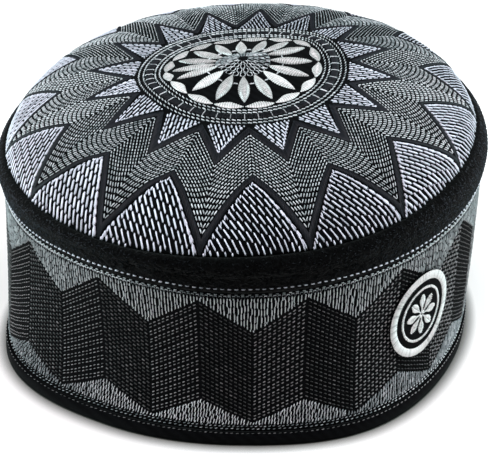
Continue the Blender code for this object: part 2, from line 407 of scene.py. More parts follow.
# %% Woven cloth
def woven_cloth(name, colour, lighter, yarn_mm, bump, sheen, lint="#000000", clumps=0.0):
    """Black cloth: a twill wave at the yarn's pitch, broken by noise, for colour and bump.

    Lint is a colour that is added in specks of about a millimetre, which clumps also raises.
    """
    values = {"Roughness": 0.95, "Specular IOR Level": 0.04, "Sheen Weight": sheen, "Sheen Roughness": 0.5}
    material, tree, shader = new_material(name, values)
    grain = noise(tree, yarn_mm * 2, 3.0, 0.7)
    ribs = add_node(
        tree,
        "ShaderNodeTexWave",
        {"Scale": 1 / (yarn_mm * MM * 20), "Distortion": 2.0, "Detail": 2.0, "Detail Scale": 1.5},
        {"Vector": add_node(tree, "ShaderNodeTexCoord").outputs["Object"]},
        bands_direction="DIAGONAL",
    )
    weave = calculate(tree, "MULTIPLY", links={0: grain, 1: ribs.outputs["Fac"]})
    tint = two_tones(tree, colour, lighter, weave)
    specks = noise(tree, 1.1, 2.0, 0.6)
    raised = add_node(tree, "ShaderNodeMapRange", {"From Min": 0.5, "From Max": 0.72}, {"Value": specks})
    fibres = add_node(
        tree,
        "ShaderNodeMix",
        {7: linear(lint)},
        {0: raised.outputs["Result"], 6: tint},
        data_type="RGBA",
        blend_type="ADD",
    )
    tree.links.new(fibres.outputs[2], shader.inputs["Base Color"])
    height = calculate(tree, "MULTIPLY_ADD", {1: clumps}, {0: raised.outputs["Result"], 2: weave})
    add_bump(tree, shader, bump, yarn_mm * 0.5, height)
    print("Cloth:", name)
    return material


ground_twill = woven_cloth("black_polyester_twill", "#020203", "#0B0C0E", 0.4, 0.5, 0.01)
roll_cloth = woven_cloth("brushed_black_cotton", "#000000", "#010101", 0.5, 0.9, 0.04, "#060708", 1.2)
tape_cloth = woven_cloth("black_bias_tape", "#010102", "#090A0C", 0.4, 0.7, 0.02)

# %% [markdown]
# ## Thread materials
# Machine embroidery uses rayon or polyester thread of about 0.4 mm, whose filaments give it a silky
# shine. Each stitch here is a real half-round ridge, so the shine turns with it by itself. A value
# stored with each stitch mixes a dark and a light tone. It differs a little at random, because slack
# and tight stitches differ, and it also carries painted light and painted shade: the grey threads
# look light where they face the lights and almost black where they don't, so parts of the cap get
# lighter or darker tones by their turn.

# %% Embroidery thread
def embroidery_thread(name, dark, light, roughness, specular=0.5):
    """Two tones mixed by each stitch's own shade, with filament noise of about 0.3 mm."""
    values = {"Roughness": roughness, "Specular IOR Level": specular}
    material, tree, shader = new_material(name, values)
    shade = add_node(tree, "ShaderNodeAttribute", attribute_name="shade").outputs["Fac"]
    filaments = noise(tree, 0.3, 2.0)
    amount = calculate(tree, "ADD", links={0: filaments, 1: shade})
    share = calculate(tree, "SUBTRACT", {1: 0.5}, {0: amount}, use_clamp=True)
    tree.links.new(two_tones(tree, dark, light, share), shader.inputs["Base Color"])
    add_bump(tree, shader, 0.4, 0.1, filaments)
    print("Thread:", name)
    return material


white_thread = embroidery_thread("white_rayon_thread", "#9C9EA8", "#E9E7F4", 0.32, 0.6)
silver_thread = embroidery_thread("silver_white_rayon_thread", "#767473", "#F7F3F2", 0.3, 0.9)
grey_thread = embroidery_thread("pale_grey_rayon_thread", "#70777A", "#E9E8EC", 0.32, 0.6)
dim_thread = embroidery_thread("dark_grey_rayon_thread", "#201F1F", "#969192", 0.4)
band_thread = embroidery_thread("dull_grey_rayon_thread", "#7C8082", "#CFD2D4", 0.36, 0.55)
# Its light tone carries the fibres' painted sheen at the cap's sides.
nap_fibre = embroidery_thread("raised_black_cotton_fibre", "#030304", "#3F4247", 0.9, 0.05)
black_thread = embroidery_thread("black_rayon_thread", "#0B0C0F", "#202228", 0.5, 0.15)

# %% [markdown]
# ## Stitches
# A stitch is a short thread that dives into the cloth at both ends. A curve with a round bevel would
# do, but there are tens of thousands of them. So each one is a closed half-round ridge of eight
# points and twelve triangles, and all the stitches of a piece are worked out together as one array.

# %% Lay stitches on a surface
chance = np.random.default_rng(11)
SINK = 0.05
RIDGE_FACES = np.array(
    [(0, 2, 1), (0, 3, 2), (0, 1, 3), (1, 2, 5), (1, 5, 4), (3, 6, 5)]
    + [(3, 5, 2), (1, 4, 6), (1, 6, 3), (7, 4, 5), (7, 5, 6), (7, 6, 4)]
)


def heading(run):
    """Runs made one long, and the same turned a quarter to the left."""
    run = run / np.maximum(np.linalg.norm(run, axis=-1, keepdims=True), 1e-6)
    return run, np.stack([-run[..., 1], run[..., 0]], axis=-1)


def lay_stitches(place, paths, width, height, jitter=0.05, tone=0.5):
    """Half-round ridges along paths of four flat points: an end, two sections and the other end.

    Each section has a left foot, a top and a right foot, at half the width to either side, and the
    feet sink a little into the cloth. Returns the real points, the faces and each point's shade,
    which lies round the tone.
    """
    count = len(paths)
    paths = paths + chance.normal(0, jitter, (count, 1, 2))
    _, left = heading(paths[:, 3] - paths[:, 0])
    half = (np.broadcast_to(width, count) * chance.normal(1, 0.06, count) / 2)[:, None]
    tall = np.broadcast_to(height, count) * chance.normal(1, 0.08, count)
    start, first, second, end = (paths[:, i] for i in range(4))
    aside = left * half
    corners = [start, first + aside, first, first - aside, second + aside, second, second - aside, end]
    flat = np.stack(corners, axis=1)
    lift = np.full((count, 8), -SINK)
    lift[:, [2, 5]] = tall[:, None]
    points = place(flat[..., 0], flat[..., 1], lift).reshape(-1, 3)
    faces = (RIDGE_FACES[None] + 8 * np.arange(count)[:, None, None]).reshape(-1, 3)
    shade = np.repeat(np.clip(tone + chance.normal(0, 0.2, count), 0, 1), 8)
    return points, faces, shade


def straight(starts, ends, share=0.2):
    """Paths of four points from starts to ends, with the sections a share of the way in."""
    steps = np.array([0.0, share, 1 - share, 1.0])[None, :, None]
    return starts[:, None] + (ends - starts)[:, None] * steps


def fade(turn, front, sides, begin=25, end=60):
    """A value that goes from front to sides between two turns, the same to the left and right."""
    turn = np.abs((turn + 180) % 360 - 180)
    return front + (sides - front) * np.clip((turn - begin) / (end - begin), 0, 1)


def crown_turn(paths):
    """The turn of each path of the crown's pattern, from -180 to 180."""
    middle = paths.mean(axis=1)
    return np.degrees(np.arctan2(middle[:, 0], -middle[:, 1]))


def band_turn(paths):
    """The turn of each path of a strip round the cap, from -180 to 180."""
    return (np.degrees(paths[:, 0, 0] / BAND_RADIUS) + 180) % 360 - 180


def evenly(pitch):
    """Places round the cap, equally far apart and at about this pitch."""
    count = int(2 * np.pi * BAND_RADIUS / pitch)
    return np.arange(count) * 2 * np.pi * BAND_RADIUS / count


def join(*parts):
    """Several (points, faces, shade) as one."""
    offset = np.cumsum([0] + [len(points) for points, _, _ in parts[:-1]])
    points = np.concatenate([part[0] for part in parts])
    faces = np.concatenate([part[1] + start for part, start in zip(parts, offset)])
    return points, faces, np.concatenate([part[2] for part in parts])


# %% [markdown]
# ## Turned cloths
# The crown, roll, band and hem tape are each a closed wall turned round the axis. A grid of rows
# (along the profile) and columns (round the axis) gives them, with more columns than the CAD solid
# for a smooth outline. Where a row shrinks to a point in the crown's middle, doubles are merged.

# %% Turned walls
def turned_wall(name, profile, columns=240, poles=False, relief=0.0):
    """A closed wall from a profile of (radius, height): every row turned round, then given its form.

    The relief, one number or one for each row and column, is added to the radius.
    """
    turns = full_circle(columns) - 180
    points = form_cap(profile[:, :1] + relief, turns[None], profile[:, 1:]).reshape(-1, 3)
    piece = make_piece(name, points, grid_faces(len(profile), columns, closed=not poles))
    if poles:
        merge_doubles(piece)
    return piece


# %% Crown
radii = np.concatenate([np.linspace(0, 84, 57), np.linspace(85, CROWN_EDGE_RADIUS, 14)])
outer = np.stack([radii, crown_height(radii)], axis=1)
along = np.gradient(outer, axis=0)
along = along / np.linalg.norm(along, axis=1, keepdims=True)
inner = outer + (CLOTH - 0.2) * np.stack([along[:, 1], -along[:, 0]], axis=1)
inner[0, 0] = 0.0
inner[-1] = (CROWN_EDGE_RADIUS - 2.9, CROWN_EDGE_HEIGHT)
crown_cloth = turned_wall("crown_cloth", np.concatenate([outer, inner[::-1]]), poles=True)
dress(crown_cloth, ground_twill, "crown_embroidery", "crown")

# %% Rim roll
roll_inner = np.array([(92.7, ROLL_FOOT), (91.8, 77.2), (89.6, 83.85), (88.6, ROLL_TOP), (91.9, 88.1)])
ROLL_COLUMNS = 1100
face_heights = np.linspace(ROLL_CURVE[0, 1], ROLL_CURVE[-1, 1], 42)
face = np.stack([roll_radius(face_heights), face_heights], axis=1)
roll_profile = np.concatenate([face, soften(roll_inner, 1)])


def nap(reach, size):
    """Smooth noise that meets itself all round: random heights, each averaged with its neighbours."""
    field = chance.normal(0, 1, (len(roll_profile), ROLL_COLUMNS))
    for _ in range(reach):
        field = field + np.roll(field, 1, axis=1) + np.roll(field, -1, axis=1)
        field = field + np.roll(field, 1, axis=0) + np.roll(field, -1, axis=0)
    return field / field.std() * size


fuzz = nap(0, 0.07) + nap(2, 0.06)
fuzz[len(face_heights) :] = 0
rim_roll = turned_wall("rim_roll", roll_profile, columns=ROLL_COLUMNS, relief=fuzz)
dress(rim_roll, roll_cloth, "black_twill", "crown_welt")

# %% [markdown]
# ## The roll's nap
# Brushed cotton has fibres that stand up from it. A bump alone would leave the roll's outline hard,
# so short thin fibres lie over it in every direction. Their colour is painted lighter at the cap's
# sides, a painted sheen where the lights graze them.

# %% Fibres on the roll
HAIRS = 8600
hair_s = chance.uniform(-np.pi, np.pi, HAIRS) * BAND_RADIUS
hair_h = chance.uniform(ROLL_FOOT + 0.8, ROLL_TOP - 0.1, HAIRS)
hair_lie = chance.uniform(0, np.pi, HAIRS)
hair_reach = 0.45 * np.stack([np.cos(hair_lie), np.sin(hair_lie)], axis=1)
hair_middle = np.stack([hair_s, hair_h], axis=1)
hair_paths = straight(hair_middle - hair_reach, hair_middle + hair_reach)
# Painted sheen: the fibres' tone rises from the front to the sides.
hair_painted_sheen = fade(band_turn(hair_paths), 0.0, 1.0, 15, 60)
hair = lay_stitches(roll_place, hair_paths, 0.16, 0.3, jitter=0.0, tone=hair_painted_sheen)
sew("roll_nap", hair, nap_fibre, "black_twill")

# %% [markdown]
# ## Band and hem tape
# The band's wall is straight from the hem to the roll. The tape is folded over its foot, so its
# outline is a narrow U that holds the wall between its two sides.

# %% Band and hem tape
band_rows = np.linspace(RIM_HEIGHT + 0.1, 1.6, 30)
band_outer = np.stack([np.full_like(band_rows, BAND_RADIUS), band_rows], axis=1)
band_inner = band_outer[::-1] - (CLOTH, 0)
band_cloth = turned_wall("band_cloth", np.concatenate([band_outer, band_inner]))
dress(band_cloth, ground_twill, "band_embroidery", "side_band")

HEM_OUT = BAND_RADIUS + 1.4
HEM_IN = BAND_RADIUS - CLOTH - 1.4
hem_outline = np.array(
    [(BAND_RADIUS + 0.3, 6.0), (HEM_OUT - 0.4, 6.0), (HEM_OUT, 5.5), (HEM_OUT, 0.8), (HEM_OUT - 0.8, 0.0)]
    + [(HEM_IN + 0.8, 0.0), (HEM_IN, 0.8), (HEM_IN, 5.5), (HEM_IN + 0.4, 6.0), (HEM_IN + 1.1, 6.0)]
    + [(HEM_IN + 1.1, 1.3), (BAND_RADIUS + 0.3, 1.3)]
)
hem_tape = turned_wall("hem_tape", hem_outline)
dress(hem_tape, tape_cloth, "hem_tape", "hem_binding")

# %% [markdown]
# ## The crown's star pattern
# The crown's ornament repeats sixteen times. Four zigzag lines run round it, each from a peak near
# the middle to a valley further out. Between the first two and the last two lie black satin bands,
# slimmer at the sides, where the thread is pulled tighter. Between the middle two is a grey band of
# short stitches, and inside and outside are white triangles.

# %% Zigzag lines
REPEATS = 16
STEP = 360 / REPEATS
FIRST_PEAK = 3.33

# The innermost and the outermost line: the radius at their peaks and at their valleys
LINE_A = (42.6, 57.6)
LINE_D = (71.4, 92.0)

repeat = np.arange(REPEATS)
peak_turns = np.repeat(FIRST_PEAK - STEP * repeat, 2)
side = np.tile([-0.5, 0.5], REPEATS)
valley_turns = peak_turns + side * STEP
peak_slim = fade(peak_turns, 1.0, 0.7, 30, 70)[:, None]
valley_slim = fade(valley_turns, 1.0, 0.7, 30, 70)[:, None]
LINE_B = (LINE_A[0] + 4.0 * peak_slim, LINE_A[1] + 6.6 * valley_slim)
LINE_C = (LINE_D[0] - 2.8 * peak_slim, LINE_D[1] - 3.6 * valley_slim)
print("Facets of the star:", len(peak_turns))


def facet_points(line, share):
    """Points of every facet, at shares of the way from its peak to its valley on a line."""
    peak = polar(line[0], peak_turns[:, None])[:, :, None]
    valley = polar(line[1], valley_turns[:, None])[:, :, None]
    return (peak + (valley - peak) * share[:, None]).reshape(-1, 2)


# %% [markdown]
# ## The star's grey band
# Each facet has thirteen rows of thirteen short stitches. One facet looks lighter than the
# next, as the pile of threads leans to a light or away from it, so painted light is given as a tone by
# turn, and facets at the sides that look away from the front get a little more painted light.

# %% Rows of short stitches
GREY_ROWS = 13
GREY_COLUMNS = 13
outward = np.arange(GREY_ROWS) / (GREY_ROWS - 1)
row_share = 0.035 + outward * (1.09 - 0.16 * outward)
grey_lines = [inside + (outside - inside) * row_share for inside, outside in zip(LINE_B, LINE_C)]
begin = (np.arange(GREY_COLUMNS) + 0.09) / GREY_COLUMNS
stitch_share = np.stack([begin, begin + 0.82 / GREY_COLUMNS], axis=-1)
spots = facet_points(grey_lines, stitch_share.ravel()).reshape(-1, 2, 2)
grey_paths = straight(spots[:, 0], spots[:, 1], 0.18)
# Painted light: the grey thread's tone for each facet, given by turn.
GREY_TURNS = [-110, -87, -64, -42, -19, 3, 26, 48, 71, 93, 116, 138]
GREY_PAINTED_LIGHT = [0.4, 0.75, 0.55, 0.36, 0.5, 0.74, 0.43, 0.56, 0.85, 0.6, 0.1, 0.22]
facet_turn = (peak_turns + side * STEP / 2 + 180) % 360 - 180
away = np.sign(side * facet_turn)
painted_catch_light = 0.2 * away * fade(facet_turn, 0, 1, 45, 65) * fade(facet_turn, 1, 0, 100, 115)
grey_painted_light = np.repeat(np.interp(facet_turn, GREY_TURNS, GREY_PAINTED_LIGHT) + painted_catch_light, GREY_ROWS * GREY_COLUMNS)
grey = lay_stitches(crown_place, grey_paths, 0.46, 0.3, tone=grey_painted_light)
grey_band = sew("crown_grey_stitches", grey, grey_thread, "crown_embroidery")

# %% [markdown]
# ## White triangles
# The triangles are filled with rows of longer stitches, laid like bricks. Slack thread lies broader
# than tight thread, so the widths change with the turn, and at the right the outer stitches are so
# long that they touch.

# %% Fill an outline with rows of stitches
def fill_rows(corners, direction, spacing, length, gap):
    """Rows of stitches inside a convex outline whose corners go counter-clockwise.

    Each row is a line. Every side of the outline cuts it to the part on its inner side, and what is
    left is divided into stitches. Odd rows are moved on by half the stitch pitch.
    """
    run, across = heading(direction)
    levels = corners @ across
    rows = np.arange(np.ceil(levels.min() / spacing), levels.max() / spacing)
    anchors = rows[:, None] * spacing * across
    low = np.full(len(rows), -1e3)
    high = np.full(len(rows), 1e3)
    for corner, following in zip(corners, np.roll(corners, -1, axis=0)):
        normal = np.array([corner[1] - following[1], following[0] - corner[0]])
        rate = run @ normal
        if abs(rate) < 1e-9:
            continue
        cut = ((corner - anchors) @ normal) / rate
        if rate > 0:
            low = np.maximum(low, cut)
        else:
            high = np.minimum(high, cut)
    begin = (np.arange(-80, 80)[None] + 0.5 * (rows[:, None] % 2)) * (length + gap)
    start = np.maximum(begin, low[:, None])
    end = np.minimum(begin + length, high[:, None])
    kept = end - start > 0.6
    row_of = np.broadcast_to(anchors[:, None], (*kept.shape, 2))[kept]
    return row_of + start[kept][:, None] * run, row_of + end[kept][:, None] * run


def turn_copies(points, turns):
    """Copies of flat points, turned round the crown's middle."""
    angle = np.radians(turns).reshape(-1, *[1] * (points.ndim - 1))
    cos, sin = np.cos(angle), np.sin(angle)
    x, y = points[None, ..., 0], points[None, ..., 1]
    turned = np.stack([x * cos - y * sin, x * sin + y * cos], axis=-1)
    return turned.reshape(-1, *points.shape[1:])


inner_outline = np.array([polar(41.9, -9.6), polar(58.2, 0.0), polar(41.9, 9.6)])
inner_rows = fill_rows(inner_outline, inner_outline[1] - inner_outline[0], 1.4, 4.4, 0.15)
outer_outline = np.array([polar(71.6, 0.0)] + [polar(91.6, turn) for turn in (-10.8, -5.3, 0.0, 5.3, 10.8)])
outer_rows = fill_rows(outer_outline, outer_outline[5] - outer_outline[0], 1.5, 3.8, 0.15)
print("Stitches in one inner and one outer triangle:", len(inner_rows[0]), len(outer_rows[0]))


# %% Edges and copies of the triangles
def twist(starts, ends, aside):
    """Long stitches turned a little in their row, so that each tucks in beside the next."""
    shift = heading(ends - starts)[1] * aside
    return straight(starts + shift, ends - shift, 0.15)


def edge_line(outline, side_corner, inset, length, gap, tilt):
    """A running stitch, each one tilted, beside the outline's side from its tip to one corner."""
    tip, corner, middle = outline[0], outline[side_corner], outline.mean(axis=0)
    run, _ = heading(corner - tip)
    inwards = middle - (tip + corner) / 2
    inwards, _ = heading(inwards - run * (inwards @ run))
    start, end = tip + (middle - tip) * 0.06, corner + inwards * inset
    run, left = heading(end - start)
    aside = left * tilt / 2
    begin = np.arange(0, np.linalg.norm(end - start) - length, length + gap)[:, None]
    return straight(start + run * begin - aside, start + run * (begin + length) + aside, 0.25)


# The side's corner, then the inset, length, gap and tilt of its stitches
OUTER_EDGES = [(5, 0.3, 2.6, -0.2, 0.3), (5, 0.8, 2.6, -0.2, -0.3), (1, 0.5, 1.25, 0.65, 0.9)]
INNER_EDGES = [(2, 0.4, 2.2, 0.2, 0.2), (1, 0.4, 1.3, 0.6, 0.7)]
outer_edges = [edge_line(outer_outline, *edge) for edge in OUTER_EDGES]
inner_edges = [edge_line(inner_outline[[1, 2, 0]], *edge) for edge in INNER_EDGES]
inner_flat = np.concatenate([twist(*inner_rows, 0.14), *inner_edges])
outer_flat = np.concatenate([twist(*outer_rows, 0.14), *outer_edges])
inner_paths = turn_copies(inner_flat, FIRST_PEAK + STEP * (repeat + 0.5))
outer_paths = turn_copies(outer_flat, FIRST_PEAK + STEP * repeat)

# %% Widths by turn, and the stitches
OUTER_TURNS = [-90, -64, -42, -19, 3, 26, 48, 71, 93]
OUTER_WIDTHS = [0.72, 0.82, 0.98, 0.64, 0.53, 0.72, 1.04, 0.93, 0.5]
INNER_TURNS = [-98, -75, -53, -30, -8, 15, 37, 60, 82, 100]
INNER_WIDTHS = [0.43, 0.52, 0.57, 0.76, 0.72, 0.74, 0.53, 0.52, 0.62, 0.55]
outer_turn = crown_turn(outer_paths)
overlap = np.interp(outer_turn, [30, 60], [1.0, 1.12])[:, None, None]
outer_middle = outer_paths.mean(axis=1, keepdims=True)
outer_paths = outer_middle + (outer_paths - outer_middle) * overlap
inner_width = np.interp(crown_turn(inner_paths), INNER_TURNS, INNER_WIDTHS)
outer_width = np.interp(outer_turn, OUTER_TURNS, OUTER_WIDTHS)
white_width = np.concatenate([inner_width, outer_width])
white_paths = np.concatenate([inner_paths, outer_paths])
# Painted shade: the white thread's tone falls from the front towards the back.
white_painted_shade = fade(crown_turn(white_paths), 0.7, 0.35, 70, 120)
white = lay_stitches(crown_place, white_paths, white_width, 0.38, jitter=0.04, tone=white_painted_shade)
white_triangles = sew("crown_white_stitches", white, white_thread, "crown_embroidery")

# %% [markdown]
# ## Black satin bands
# Satin stitch is thread laid side by side across a narrow band. Here the threads all run outwards,
# half a millimetre apart, from one zigzag line to the next, which gives the bands their fine ribs.

# %% Satin between two zigzag lines
def satin_band(line_in, line_out, pitch=0.5):
    """Threads from one zigzag line to another, at equal steps along the lines."""
    rise = np.mean(line_in[1] - line_in[0])
    along = np.mean(line_in[0]) * np.radians(STEP / 2)
    steps = int(np.hypot(rise, along) / pitch)
    share = (np.arange(steps) + 0.5) / steps
    return straight(facet_points(line_in, share), facet_points(line_out, share), 0.12)


black_paths = np.concatenate([satin_band(LINE_A, LINE_B), satin_band(LINE_C, LINE_D)])
black = lay_stitches(crown_place, black_paths, 0.62, 0.45, jitter=0.03)
black_bands = sew("crown_black_satin", black, black_thread, "crown_embroidery")

# %% [markdown]
# ## Petals and scallops
# Sixteen white satin petals stand round the middle, and a scallop fills the gap between each two
# tips. Satin over padding is a smooth swell with fine ribs, so each is one closed cushion-like
# surface: flat below, rounded above, with a tenth of a millimetre of ribs in the formula.

# %% Petals
def satin_petal(r_in, r_out, half_width, height):
    """A leaf that runs outwards: half the width is a power of a sine along the leaf.

    The top is a parabola across the leaf, and ribs run across it at a slant.
    """
    rows, columns = 170, 13
    point, slant, rib = 0.85, 0.9, 0.95
    u, v = np.meshgrid(np.linspace(0, 1, rows), np.linspace(-1, 1, columns), indexing="ij")
    radial = r_in + (r_out - r_in) * u
    thread = (radial - slant * v) / rib + 0.3 * np.sin(9 * u + 2 * v)
    wide = half_width * np.sin(np.pi * u) ** point * (1 + 0.05 * np.cos(2 * np.pi * thread))
    ribs = 0.09 * np.cos(2 * np.pi * thread) + 0.04 * np.cos(5 * np.pi * thread)
    lift = (height * (1 - v**2) + ribs * (1 - v**4)) * np.sin(np.pi * u) ** 0.5
    flat = np.stack([wide * v, -radial], axis=-1)
    return rows, columns, flat, lift, np.cos(2 * np.pi * thread)


def place_leaves(turns, leaf, tones):
    """Closed copies of a leaf at these turns, with the same outline just below the cloth as a base.

    The tones by turn are painted light, and every copy and every thread of it differs a little.
    Painted shade darkens the rib grooves.
    """
    rows, columns, flat, lift, ridge = leaf
    size = rows * columns
    spots = turn_copies(flat.reshape(-1, 1, 2), turns).reshape(len(turns), size, 2)
    lifts = np.broadcast_to(lift.reshape(1, -1), spots.shape[:2])
    top = crown_place(spots[..., 0], spots[..., 1], lifts)
    base = crown_place(spots[..., 0], spots[..., 1], -0.1)
    index = np.arange(size).reshape(rows, columns)
    corners = [index[:-1, :-1], index[1:, :-1], index[1:, 1:], index[:-1, 1:]]
    upper = np.stack(corners, axis=-1).reshape(-1, 4)
    rim = np.concatenate([index[0, :-1], index[:-1, -1], index[-1, :0:-1], index[:0:-1, 0]])
    ahead = np.roll(rim, -1)
    walls = np.stack([rim, ahead, ahead + size, rim + size], axis=1)
    faces = np.concatenate([upper, upper[:, ::-1] + size, walls])
    points = np.concatenate([top, base], axis=1)
    offset = (np.arange(len(turns)) * 2 * size)[:, None, None]
    turned_by = np.abs((turns + 180) % 360 - 180)
    # Painted light: each copy's tone by its turn, with a little random variation.
    painted_light_and_variation = np.interp(turned_by, *tones) + chance.normal(0, 0.04, len(turns))
    painted_light_and_variation = painted_light_and_variation[:, None] + chance.normal(0, 0.1, (len(turns), rows)).repeat(columns, 1)
    # Painted shade: the tone is darker in the rib grooves.
    shade = np.clip(painted_light_and_variation + 0.3 * np.minimum(ridge.reshape(1, -1), 0.2), 0, 1)
    shade = np.concatenate([shade, shade], axis=1).ravel()
    return points.reshape(-1, 3), (faces[None] + offset).reshape(-1, 4), shade


PETAL_TURN = 1.64
LEAF_TURNS = [15, 45, 75, 105, 150, 180]
# Painted light: the petals' tones by turn.
petal_painted_light = (LEAF_TURNS, [0.28, 0.6, 0.45, 0.28, 0.3, 0.35])
petals = place_leaves(PETAL_TURN + STEP * repeat, satin_petal(10.6, 27.2, 2.2, 1.35), petal_painted_light)
petal_piece = sew("crown_petals", petals, silver_thread, "crown_embroidery")


# %% Scallops
def satin_scallop():
    """A crescent along the ring, with the inner edge bulging towards the middle."""
    rows, columns = 120, 11
    u, v = np.meshgrid(np.linspace(0, 1, rows), np.linspace(0, 1, columns), indexing="ij")
    turn = (u - 0.5) * (STEP * 0.94)
    bow = np.sin(np.pi * u)
    thread = np.cos(2 * np.pi * u * 12)
    inside = 29.4 - 2.2 * bow**1.3 - 0.12 * thread * bow
    outside = 29.8 + 1.3 * bow**0.7
    radius = inside + (outside - inside) * v
    lift = (0.65 + 0.12 * thread) * 4 * v * (1 - v) * bow**0.5
    return rows, columns, polar(radius, -turn), lift, thread


# Painted light: the scallops' tones by turn.
scallop_painted_light = (LEAF_TURNS, [0.5, 0.6, 0.5, 0.35, 0.35, 0.35])
scallops = place_leaves(PETAL_TURN + STEP * (repeat + 0.5), satin_scallop(), scallop_painted_light)
scallop_piece = sew("crown_scallops", scallops, silver_thread, "crown_embroidery")

# %% [markdown]
# ## Rings and rosette
# Rope lines of short slanting stitches circle the petals, with a ring of small black squares between
# them, and the middle is a rosette of chain loops round a dark spot.

# %% Lines of rope and loops
def rope_ring(radius, pitch=1.9, slant=0.6):
    """Short stitches along a circle, each slanting a little outwards."""
    turn = full_circle(int(2 * np.pi * radius / pitch))
    reach = pitch * 0.95 / radius * 180 / np.pi
    return straight(polar(radius - slant / 2, turn), polar(radius + slant / 2, turn + reach))


def chain_loops(radius_in, radius_out, count, half_width, phase):
    """Loops that point outwards: a left bow and a right bow that close at the tip."""
    radius = radius_in + (radius_out - radius_in) * np.array([0.0, 0.35, 0.85, 1.0])
    aside = half_width * np.array([0.0, 1.0, 0.95, -0.35])
    bows = [np.stack([sign * aside, -radius], axis=1) for sign in (-1, 1)]
    return np.concatenate([turn_copies(bow[None], full_circle(count, phase)) for bow in bows])


# %% Ropes, bars and rosette
ropes = [rope_ring(radius) for radius in (32.2, 33.9, 38.4, 40.2)]
BARS = 45
bar_turn = full_circle(BARS) + 1.5
spokes = straight(polar(34.2, bar_turn), polar(38.1, bar_turn))
link_turn = PETAL_TURN + STEP * repeat
links = straight(polar(15.8, link_turn + 7.0), polar(15.8, link_turn + STEP - 7.0))
rope_thread = lay_stitches(crown_place, np.concatenate(ropes), 0.48, 0.4, jitter=0.03, tone=0.6)
bar_thread = lay_stitches(crown_place, np.concatenate([spokes, links]), 0.36, 0.5, jitter=0.03, tone=0.6)

# Inner and outer radius, how many, half the width, and how far each is turned on
LOOPS = [(8.3, 11.0, 23, 0.95, 0), (6.0, 8.8, 19, 0.85, 0.5)]
LOOPS += [(3.8, 6.5, 14, 0.8, 0), (1.8, 4.2, 9, 0.7, 0.5)]
loops = np.concatenate([chain_loops(*loop) for loop in LOOPS])
# Painted shade: the rosette's loops are darker towards the sides.
loop_painted_shade = fade(crown_turn(loops), 0.9, 0.2, 35, 80)
loop_thread = lay_stitches(crown_place, loops, 0.3, 0.45, jitter=0.06, tone=loop_painted_shade)
rosette_piece = sew("crown_rosette", loop_thread, grey_thread, "crown_embroidery")
ring_piece = sew("crown_ring_stitches", join(rope_thread, bar_thread), grey_thread, "crown_embroidery")

# %% Black squares
square_turn = bar_turn + 180 / BARS
spins = (square_turn + np.linspace(-0.4, 0.4, 8)[:, None] * 360 / BARS).ravel()
square_paths = straight(polar(34.7, spins), polar(37.7, spins), 0.1)
squares = lay_stitches(crown_place, square_paths, 0.62, 0.5, jitter=0.02)
square_piece = sew("crown_square_satin", squares, black_thread, "crown_embroidery")

# %% [markdown]
# ## The band's zigzag
# The side band has a wide dark zigzag of short grey stitches on black. Facets that rise to the right
# have twelve pairs of rows, and facets that fall have twenty-four even rows in a darker tone.

# %% Short stitches of the zigzag
BAND_START = 2.49

# The upper and the lower line: the height at their valleys and at their peaks
UPPER = (52.2, 66.7)
LOWER = (10.2, 20.6)
half_step = np.radians(STEP / 2) * BAND_RADIUS
valley_s = np.radians(BAND_START + STEP * repeat) * BAND_RADIUS


def facet_stitches(rows, columns, stitch, rising):
    """Stitches along rows that lie between the lower and the upper zigzag line.

    rows holds each row's share of the way up. A rising facet runs from a valley to the peak on its
    right, and a falling one from a peak to the valley on its right.
    """
    order = 1 if rising else -1
    (low_left, low_right), (high_left, high_right) = LOWER[::order], UPPER[::order]
    left = (low_left + (high_left - low_left) * rows)[:, None, None]
    right = (low_right + (high_right - low_right) * rows)[:, None, None]
    begin = (np.arange(columns) + 0.18) / columns
    along = 0.98 * np.stack([begin, begin + stitch / half_step], axis=-1)
    base = valley_s if rising else valley_s + half_step
    s = base[:, None, None, None] + half_step * along
    spots = np.stack(np.broadcast_arrays(s, left + (right - left) * along), axis=-1).reshape(-1, 2, 2)
    return straight(spots[:, 0], spots[:, 1])


# %% Rising and falling facets
PAIRS = 12
FACET_COLUMNS = 11
pairs = np.arange(PAIRS)
pair_rows = np.sort(np.concatenate([(pairs + 0.3) / PAIRS, (pairs + 0.71) / PAIRS]))
even_rows = (np.arange(2 * PAIRS) + 0.5) / (2 * PAIRS)
rising = facet_stitches(pair_rows, FACET_COLUMNS, 1.0, True)
falling = facet_stitches(even_rows, FACET_COLUMNS, 1.15, False)
pair_tone = np.tile(np.repeat(np.tile([0.6, 0.8], PAIRS), FACET_COLUMNS), REPEATS)
zigzag_tone = np.concatenate([pair_tone, np.full(len(falling), 0.05)])
zigzag = lay_stitches(band_place, np.concatenate([rising, falling]), 0.42, 0.4, tone=zigzag_tone)
zigzag_piece = sew("band_zigzag_stitches", zigzag, dim_thread, "band_embroidery")

# %% [markdown]
# ## The band's pale triangles
# Above and below the zigzag, triangles are filled with columns of wavy upright stitches, cut to
# length by the zigzag line. Their tone goes by turn as painted light: the front gets less light, so
# the thread there is painted paler to keep an even grey.

# %% Upright wavy stitches
NET_SWAY = 0.16


def zigzag_height(s, line):
    """The height of a zigzag line at s: straight runs between its valleys and peaks."""
    share = np.abs(((s - valley_s[0]) / (2 * half_step) + 0.5) % 1 - 0.5) * 2
    return line[0] + (line[1] - line[0]) * share


